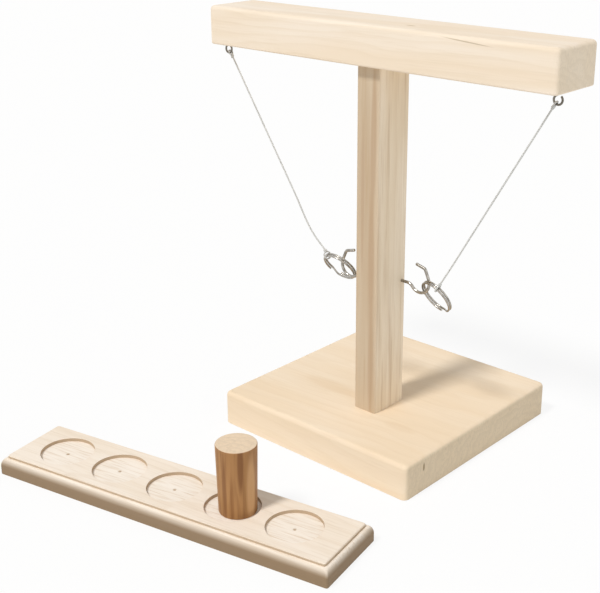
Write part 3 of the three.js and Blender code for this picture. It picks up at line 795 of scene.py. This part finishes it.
def laid_cord(name, route, diameter):
    """Three strands twisted round each other along a route."""
    # Radius of strands that touch each other inside the diameter
    strand = diameter / 2 / (1 + 2 / math.sqrt(3))
    offset = diameter / 2 - strand
    data = bpy.data.curves.new(name, "CURVE")
    data.dimensions = "3D"
    data.bevel_depth = strand
    data.bevel_resolution = STRAND_ROUNDNESS
    data.use_fill_caps = True
    befores, afters = [route[0], *route], [*route[1:], route[-1]]
    ways = [(after - before).normalized() for before, after in zip(befores, afters)]
    side = ways[0].orthogonal().normalized()
    travelled = 0
    turns = []
    for number, (place, way) in enumerate(zip(route, ways)):
        if number:
            travelled += (place - route[number - 1]).length
            side = (ways[number - 1].rotation_difference(way) @ side).normalized()
        angle = 2 * math.pi * travelled / (STRING_LAY * MM)
        turns.append((place, way, side.copy(), angle))
    for number in range(STRANDS):
        spline = data.splines.new("POLY")
        spline.points.add(len(turns) - 1)
        for point, (place, way, side, angle) in zip(spline.points, turns):
            turned = Matrix.Rotation(angle + number * 2 * math.pi / STRANDS, 3, way) @ side
            point.co = (*(place + offset * turned), 1)
    piece = bpy.data.objects.new(name, data)
    bpy.context.collection.objects.link(piece)
    pick_piece(piece)
    bpy.ops.object.convert(target="MESH")
    cord = bpy.context.object
    weld(CORD_WELD)
    bpy.ops.object.shade_smooth()
    return cord


def knotted_loop(name, place, outward, across, radius, away, tag):
    """A loop of string round a wire, closed by a knot of tight turns with a short tag end."""
    normal = away.cross(across if abs(away.dot(across)) < FACING else outward).normalized()
    side = normal.cross(away)
    knot = place + away * (radius + STRING_DIAMETER / 2) * MM
    start = math.atan2(away.dot(across), away.dot(outward))
    loop = []
    for step in range(LOOP_STEPS + 1):
        angle = start + math.radians(LOOP_GAP + step * (360 - 2 * LOOP_GAP) / LOOP_STEPS)
        loop.append(place + (outward * math.cos(angle) + across * math.sin(angle)) * radius * MM)
    turns = []
    for step in range(KNOT_STEPS + 1):
        along = (step / KNOT_STEPS - KNOT_OVERLAP) * KNOT_LENGTH
        angle = 2 * math.pi * KNOT_TURNS * step / KNOT_STEPS
        reach = (side * math.cos(angle) + normal * math.sin(angle)) * KNOT_REACH
        turns.append(knot + (away * along + reach) * MM)
    tail = turns[-1] + (turns[-1] - turns[-2]).normalized() * KNOT_TAIL * MM
    route = smooth_route([*loop, *turns, tail, tail + tag * TAG_END * MM], LOOP_SPACING * MM)
    return laid_cord(name, route, LOOP_THICKNESS * STRING_DIAMETER * MM)


SIDES = {"left": -1, "right": 1}


def ring_frame(side):
    """How a ring hangs: its long axis, its front side, its axis of turning and its centre."""
    out = SIDES[side]
    slope = math.radians(RING_SLOPE[side])
    tip = math.radians(RING_TIP[side])
    along = Vector((out * math.cos(slope), 0, math.sin(slope)))
    raised = Vector((-out * math.sin(slope), 0, math.cos(slope)))
    front = raised * math.sin(tip) - Y_AXIS * math.cos(tip)
    return along, front, along.cross(front), metres(*RING_CENTRE[side])


for side, out in SIDES.items():
    along, front, axis, centre = ring_frame(side)
    tie = math.radians(RING_TIE[side])
    outward = along * math.cos(tie) + front * math.sin(tie)
    tie_place = centre + outward * RING_RADIUS * MM
    eye = metres(EYE_X[side], EYE_Y, BAR_BOTTOM - EYE_DROP)
    from_eye = tie_place - eye
    from_eye.y = 0
    from_eye.normalize()
    eye_radius = EYE_WIRE / 2 + LOOP_CLEARANCE + STRING_DIAMETER / 2
    eye_place = eye + from_eye * EYE_RADIUS * MM
    eye_knot = knotted_loop(f"{side}_eye_loop", eye_place, from_eye, Y_AXIS, eye_radius, from_eye, -Z_AXIS)
    to_eye = eye - tie_place
    to_eye = (outward * to_eye.dot(outward) + axis * to_eye.dot(axis)).normalized()
    ring_radius = RING_PITCH / 2 + RING_WIRE / 2 + LOOP_CLEARANCE + STRING_DIAMETER / 2
    ring_knot = knotted_loop(f"{side}_ring_loop", tie_place, outward, axis, ring_radius, to_eye, -Z_AXIS)
    ends = [
        eye_place + from_eye * (eye_radius + STRING_DIAMETER / 2) * MM,
        tie_place + to_eye * (ring_radius + STRING_DIAMETER / 2) * MM,
    ]
    chord = ends[1] - ends[0]
    hang = Vector((-chord.z, 0, chord.x)).normalized() * out * STRING_SLACK[side] * MM
    slack = [ends[0] + chord * share + hang * sag for share, sag in SLACK_SHAPE]
    route = smooth_route([ends[0], *slack, ends[1]], STRING_SPACING * MM)
    cord = laid_cord(f"{side}_throwing_string", route, STRING_DIAMETER * MM)
    for piece, node in ((cord, "string"), (eye_knot, "eye_knot"), (ring_knot, "ring_knot")):
        dress(piece, string_fibre, "string", f"{side}_line", f"{side}_{node}")


# Base board

base = block("square_base", (0, 0, BASE_SIZE[2] / 2), BASE_SIZE)
round_edges(base, BASE_CORNER, upright)
round_edges(base, BASE_ROUND, level_at(BASE_SIZE[2]))
round_edges(base, BASE_ARRIS, level_at(0), ARRIS_STEPS)


def screw_sink(y):
    """Countersunk hole for one screw head in the base's underside."""
    clear_selection()
    mouth = SCREW_HEAD / 2 + SINK_CLEARANCE
    bpy.ops.mesh.primitive_circle_add(
        vertices=WIRE_SIDES * 2, radius=mouth * MM, fill_type="NGON",
        location=metres(*POST_PLACE, -CUTTER_SPARE) + metres(0, y, 0))
    cutter = open_piece("screw_sink")
    push_out(metres(0, 0, CUTTER_SPARE + SCREW_RECESS))
    push_out(metres(0, 0, SCREW_HEAD / 2 - SCREW_SHANK / 2))
    scale = (SCREW_SHANK / 2 + SINK_CLEARANCE) / mouth
    bpy.ops.transform.resize(value=(scale, scale, 1))
    push_out(metres(0, 0, SCREW_SHANK))
    face_outward()
    return cutter


for y in SCREW_PLACES.values():
    cut_away(base, screw_sink(y))
close_piece(base)
dress(base, pine_base, "pine", "stand", "base_board")


# Post

post = block("upright_post", (*POST_PLACE, BASE_SIZE[2] + POST_SIZE[2] / 2), POST_SIZE)
round_edges(post, POST_CORNER, upright, CORNER_STEPS)
close_piece(post)
dress(post, post_wood, "post_wood", "stand", "post")


# Crossbar

bar = block("rounded_crossbar", (*POST_PLACE, BAR_BOTTOM + BAR_SIZE[2] / 2), BAR_SIZE)
round_edges(bar, BAR_CORNER, upright)
round_edges(bar, BAR_UPPER_ROUND, level_at(BAR_BOTTOM + BAR_SIZE[2]))
round_edges(bar, BAR_LOWER_ROUND, level_at(BAR_BOTTOM), TIP_STEPS)
close_piece(bar)
dress(bar, pine_bar, "pine", "stand", "crossbar")


# Countersunk screws from below: the head with its cross recess shows under the base

def base_screw(name, y):
    clear_selection()
    foot = metres(*POST_PLACE, SCREW_RECESS) + metres(0, y, 0)
    head = SCREW_HEAD / 2
    shank = SCREW_SHANK / 2
    bpy.ops.mesh.primitive_circle_add(
        vertices=WIRE_SIDES * 2, radius=head * MM, fill_type="NGON", location=foot)
    screw = open_piece(name)
    push_out(metres(0, 0, SCREW_RIM))
    push_out(metres(0, 0, head - shank - SCREW_RIM))
    bpy.ops.transform.resize(value=(shank / head, shank / head, 1))
    push_out(metres(0, 0, SCREW_LENGTH - SCREW_POINT - head + shank))
    push_out(metres(0, 0, SCREW_POINT))
    bpy.ops.transform.resize(value=(SCREW_TIP_SHARE, SCREW_TIP_SHARE, 1))
    for angle in (0, math.pi / 2):
        clear_selection()
        bpy.ops.mesh.primitive_cube_add(
            size=1, location=foot, rotation=(0, 0, angle),
            scale=metres(CROSS_LENGTH, CROSS_WIDTH, 2 * CROSS_DEPTH))
        blade = open_piece("cross_blade")
        pick_faces(blade, faces_up)
        bpy.ops.transform.resize(value=(CROSS_TAPER, CROSS_TAPER, 1))
        cut_away(screw, blade)
    clear_selection()
    bpy.ops.mesh.primitive_circle_add(
        vertices=3, radius=THREAD_HEIGHT * MM, rotation=(math.pi / 2, 0, 0),
        location=foot + metres(shank, 0, THREAD_START))
    thread = open_piece("screw_thread")
    bpy.ops.mesh.edge_face_add()
    for _ in range(THREAD_TURNS * THREAD_STEPS):
        bpy.ops.mesh.spin(steps=1, angle=2 * math.pi / THREAD_STEPS, center=foot, axis=Z_AXIS)
        bpy.ops.transform.translate(value=metres(0, 0, THREAD_PITCH / THREAD_STEPS))
    pick_piece(screw)
    thread.select_set(True)
    bpy.ops.object.join()
    close_piece(screw, SCREW_CREASE)
    return screw


for place, y in SCREW_PLACES.items():
    screw = base_screw(f"countersunk_screw_{place}", y)
    dress(screw, zinc, "screw_steel", "stand", f"base_screw_{place}")
    dowel_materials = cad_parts[f"crossbar_dowel_{place}"].data.materials
    dowel_materials.clear()
    dowel_materials.append(dowel_wood)


# Bent wire: hooks in the post's sides and screw eyes under the crossbar

def round_end(radius, steps):
    """Rounds the rim of the wire's end face, which is selected."""
    bpy.ops.mesh.region_to_loop()
    bpy.ops.mesh.bevel(offset=radius * MM, segments=steps, profile=ROUND_PROFILE, affect="EDGES")


def bent_wire(name, root, out, heading, diameter, legs, tip_round):
    """Wire drawn in an upright plane: legs are straight lengths, or a bend's radius and angle.

    out is the side that it heads for."""
    clear_selection()
    way = Vector((out * math.cos(heading), 0, math.sin(heading)))
    bpy.ops.mesh.primitive_circle_add(
        vertices=WIRE_SIDES, radius=diameter / 2 * MM, fill_type="NGON", location=root,
        rotation=way.to_track_quat("Z", "Y").to_euler())
    wire = open_piece(name)
    place = root.copy()
    for leg in legs:
        way = Vector((out * math.cos(heading), 0, math.sin(heading)))
        if not isinstance(leg, tuple):
            push_out(way * leg * MM)
            place += way * leg * MM
            continue
        radius, degrees = leg
        turn = math.radians(degrees)
        upper = Vector((-out * math.sin(heading), 0, math.cos(heading)))
        centre = place + upper * math.copysign(radius, turn) * MM
        steps = max(BEND_LEAST, math.ceil(abs(degrees) / BEND_STEP))
        bpy.ops.mesh.spin(steps=steps, angle=out * turn, center=centre, axis=Y_AXIS)
        place = centre + Matrix.Rotation(-out * turn, 3, "Y") @ (place - centre)
        heading += turn
    round_end(tip_round, TIP_STEPS)
    return wire


for side, out in SIDES.items():
    root = metres(POST_PLACE[0] + out * (POST_SIZE[0] / 2 - HOOK_IN_WOOD), *HOOK_PLACE[side])
    hook = bent_wire(f"{side}_wire_hook", root, out, 0, HOOK_WIRE, (
        HOOK_IN_WOOD + HOOK_SHANK, HOOK_DROP, HOOK_BOWL, HOOK_RISE, HOOK_LIP_BEND, HOOK_LIP), HOOK_TIP_ROUND)
    close_piece(hook, WIRE_CREASE)
    dress(hook, nickel, "bright_steel", "stand", f"{side}_hook")
    root = metres(EYE_X[side], EYE_Y, BAR_BOTTOM + EYE_IN_WOOD)
    eye = bent_wire(f"{side}_wire_eye", root, out, -math.pi / 2, EYE_WIRE, (
        EYE_IN_WOOD + EYE_NECK, (EYE_BEND, -EYE_BEND_ANGLE), (EYE_RADIUS, EYE_TURN)), EYE_TIP_ROUND)
    close_piece(eye, WIRE_CREASE)
    dress(eye, dull_steel, "eye_steel", "stand", f"{side}_screw_eye")


# Split rings: two turns of wire side by side, with one step between them

def split_ring(side):
    clear_selection()
    first = math.radians(RING_STEP_PLACE + RING_STEP)
    radius = RING_RADIUS * MM
    start = Vector((radius * math.cos(first), radius * math.sin(first), -RING_PITCH / 2 * MM))
    bpy.ops.mesh.primitive_circle_add(
        vertices=WIRE_SIDES, radius=RING_WIRE / 2 * MM, fill_type="NGON", location=start,
        rotation=(math.pi / 2, 0, first))
    ring = open_piece(f"{side}_split_ring")
    coil = math.radians(360 - 2 * RING_STEP)
    bpy.ops.mesh.spin(steps=RING_COIL_STEPS, angle=-coil, center=(0, 0, 0), axis=Z_AXIS)
    for number in range(RING_RISE_STEPS):
        turn = math.radians(2 * RING_STEP / RING_RISE_STEPS)
        bpy.ops.mesh.spin(steps=1, angle=-turn, center=(0, 0, 0), axis=Z_AXIS)
        low, high = number / RING_RISE_STEPS, (number + 1) / RING_RISE_STEPS
        rise = high * high * (3 - 2 * high) - low * low * (3 - 2 * low)
        bpy.ops.transform.translate(value=(0, 0, rise * RING_PITCH * MM))
    bpy.ops.mesh.spin(steps=RING_COIL_STEPS, angle=-coil, center=(0, 0, 0), axis=Z_AXIS)
    round_end(RING_END_ROUND, ARRIS_STEPS)
    bpy.ops.object.mode_set(mode="OBJECT")
    along, front, axis, centre = ring_frame(side)
    put(ring, Matrix.Translation(centre) @ Matrix((along, front, axis)).transposed().to_4x4())
    return ring


for side in SIDES:
    ring = split_ring(side)
    close_piece(ring, WIRE_CREASE)
    dress(ring, nickel, "bright_steel", f"{side}_ring", f"{side}_ring")


# Ladder board: a routed edge and five wells, each with the pip of the cutter at its centre

def well_cutter(x):
    clear_selection()
    floor = LADDER_SIZE[2] - WELL_DEPTH
    height = WELL_DEPTH + CUTTER_SPARE
    bpy.ops.mesh.primitive_cylinder_add(
        vertices=TURNED_SIDES, radius=WELL_DIAMETER / 2 * MM, depth=height * MM,
        location=metres(x, 0, floor + height / 2))
    cutter = open_piece("well_cutter")
    pick_faces(cutter, faces_down)
    bpy.ops.mesh.inset(thickness=(WELL_DIAMETER - PIP_DIAMETER) / 2 * MM, depth=0)
    push_out(metres(0, 0, -PIP_DEPTH))
    bpy.ops.transform.resize(value=(PIP_TAPER, PIP_TAPER, 1))
    face_outward()
    return cutter


ladder = block("ladder_with_wells", (0, 0, ROUTED_START / 2), (*LADDER_SIZE[:2], ROUTED_START))
round_edges(ladder, LADDER_ARRIS, level_at(0), ARRIS_STEPS)
pick_faces(ladder, faces_up)
round_in = ROUTED_INSET - ROUTED_FLAT
round_up = LADDER_SIZE[2] - ROUTED_STEP - ROUTED_START
for step in range(ROUTED_STEPS):
    low = math.radians(90 * step / ROUTED_STEPS)
    high = math.radians(90 * (step + 1) / ROUTED_STEPS)
    bpy.ops.mesh.inset(thickness=round_in * (math.cos(low) - math.cos(high)) * MM,
                       depth=round_up * (math.sin(high) - math.sin(low)) * MM)
bpy.ops.mesh.inset(thickness=ROUTED_FLAT * MM, depth=0)
push_out(metres(0, 0, ROUTED_STEP - LADDER_ARRIS))
bpy.ops.mesh.inset(thickness=LADDER_ARRIS * MM, depth=LADDER_ARRIS * MM)


def corner_edge(middle, direction):
    return max(abs(direction.x), abs(direction.y)) < FACING


round_edges(ladder, LADDER_CORNER, corner_edge, TIP_STEPS)
first_well = WELL_ROW_SHIFT - (WELL_COUNT - 1) / 2 * WELL_PITCH
well_places = [first_well + number * WELL_PITCH for number in range(WELL_COUNT)]
for x in well_places:
    cut_away(ladder, well_cutter(x))
bpy.ops.object.mode_set(mode="EDIT")


def well_rim(middle, direction):
    if abs(middle.z - LADDER_SIZE[2]) > SAME_PLACE:
        return False
    return any(abs(math.hypot(middle.x - x, middle.y) - WELL_DIAMETER / 2) < ON_RIM for x in well_places)


round_edges(ladder, WELL_RIM, well_rim, ARRIS_STEPS)
bpy.ops.object.mode_set(mode="OBJECT")
on_table = Matrix.Translation(metres(*LADDER_PLACE, 0)) @ Matrix.Rotation(LADDER_TURN, 4, "Z")
put(ladder, on_table)
close_piece(ladder)
dress(ladder, pine_ladder, "pine", "ladder", "ladder_board")


# Marker peg, slightly wider at the top

clear_selection()
peg_foot = on_table @ metres(
    well_places[PEG_WELL] + PEG_OFFSET[0], PEG_OFFSET[1], LADDER_SIZE[2] - WELL_DEPTH + PEG_LIFT)
bpy.ops.mesh.primitive_cylinder_add(
    vertices=TURNED_SIDES, radius=PEG_FOOT / 2 * MM, depth=PEG_HEIGHT * MM,
    location=peg_foot + metres(0, 0, PEG_HEIGHT / 2))
peg = open_piece("stained_peg")
pick_faces(peg, faces_up)
bpy.ops.transform.resize(value=(PEG_TOP / PEG_FOOT, PEG_TOP / PEG_FOOT, 1))
peg_low = peg_foot.z / MM
for height in (peg_low + PEG_HEIGHT, peg_low):
    round_edges(peg, PEG_CHAMFER, level_at(height), CORNER_STEPS)
close_piece(peg)
dress(peg, peg_wood, "stained_wood", "peg", "score_peg")


# Floor, light and background

FLOOR_SIZE = 14000
FLOOR_DROP = 0.3
FLOOR_LIFT = 0.86
PAPER_ROUGHNESS = 0.95


def rays_that_show(tree):
    """1 for the rays that show a surface to the eye: straight, in a mirror or through glass."""
    rays = add_node(tree, "ShaderNodeLightPath").outputs
    shown = rays["Is Camera Ray"]
    for kind in ("Is Glossy Ray", "Is Transmission Ray"):
        shown = add_node(tree, "ShaderNodeMath", {0: shown, 1: rays[kind]}, operation="MAXIMUM").outputs[0]
    return shown


clear_selection()
bpy.ops.mesh.primitive_plane_add(size=FLOOR_SIZE * MM, location=metres(0, 0, -FLOOR_DROP))
floor = open_piece("pale_floor")
bpy.ops.object.mode_set(mode="OBJECT")

# Matt white paper: to the eye and in metal it is lifted towards white, and it keeps the object's soft shadow.
# It doesn't hide the object from a camera below it.
paper, paper_tree, paper_shader = new_material("white paper")
paper_shader.inputs["Base Color"].default_value = linear("#F7F6F4")
paper_shader.inputs["Roughness"].default_value = PAPER_ROUGHNESS
paper_shader.inputs["Specular IOR Level"].default_value = 0
lift = add_node(paper_tree, "ShaderNodeMath", {0: rays_that_show(paper_tree), 1: FLOOR_LIFT},
                operation="MULTIPLY")
white = add_node(paper_tree, "ShaderNodeEmission", {"Color": (1, 1, 1, 1), "Strength": 1})
lifted = add_node(paper_tree, "ShaderNodeMixShader", {
    0: lift.outputs[0], 1: paper_shader.outputs[0], 2: white.outputs[0],
})
behind = add_node(paper_tree, "ShaderNodeNewGeometry")
clear = add_node(paper_tree, "ShaderNodeBsdfTransparent")
from_below = add_node(paper_tree, "ShaderNodeMixShader", {
    0: behind.outputs["Backfacing"], 1: lifted.outputs[0], 2: clear.outputs[0],
})
paper_tree.links.new(from_below.outputs[0], paper_tree.nodes["Material Output"].inputs["Surface"])
floor.data.materials.append(paper)

SKY_LEVEL = 0.46
SUN_LEVEL = 1.9
SUN_FROM = Vector((-0.09, -0.68, 1.0)).normalized()
SUN_SOFTNESS = math.radians(10)
FILL_LEVEL = 0.4
FILL_FROM = Vector((1.0, -0.15, 0.3)).normalized()
FILL_SOFTNESS = math.radians(70)
LAMP_DISTANCE = 2  # metres

world = bpy.data.worlds.new("studio")
bpy.context.scene.world = world
world.use_nodes = True
sky = world.node_tree
sky_light = sky.nodes["Background"]
sky_light.inputs["Color"].default_value = (1, 1, 1, 1)
sky_light.inputs["Strength"].default_value = SKY_LEVEL
backdrop = add_node(sky, "ShaderNodeBackground", {"Color": (1, 1, 1, 1), "Strength": 1})
shown = add_node(sky, "ShaderNodeMixShader", {
    0: rays_that_show(sky), 1: sky_light.outputs[0], 2: backdrop.outputs[0],
})
sky.links.new(shown.outputs[0], sky.nodes["World Output"].inputs["Surface"])


def studio_light(name, source, level, softness):
    clear_selection()
    bpy.ops.object.light_add(
        type="SUN", location=source * LAMP_DISTANCE, rotation=source.to_track_quat("Z", "Y").to_euler())
    lamp = bpy.context.object
    lamp.name = name
    lamp.data.energy = level
    lamp.data.angle = softness


studio_light("key_from_the_front", SUN_FROM, SUN_LEVEL, SUN_SOFTNESS)
studio_light("fill_from_the_right", FILL_FROM, FILL_LEVEL, FILL_SOFTNESS)

bpy.context.scene.view_settings.view_transform = "Standard"
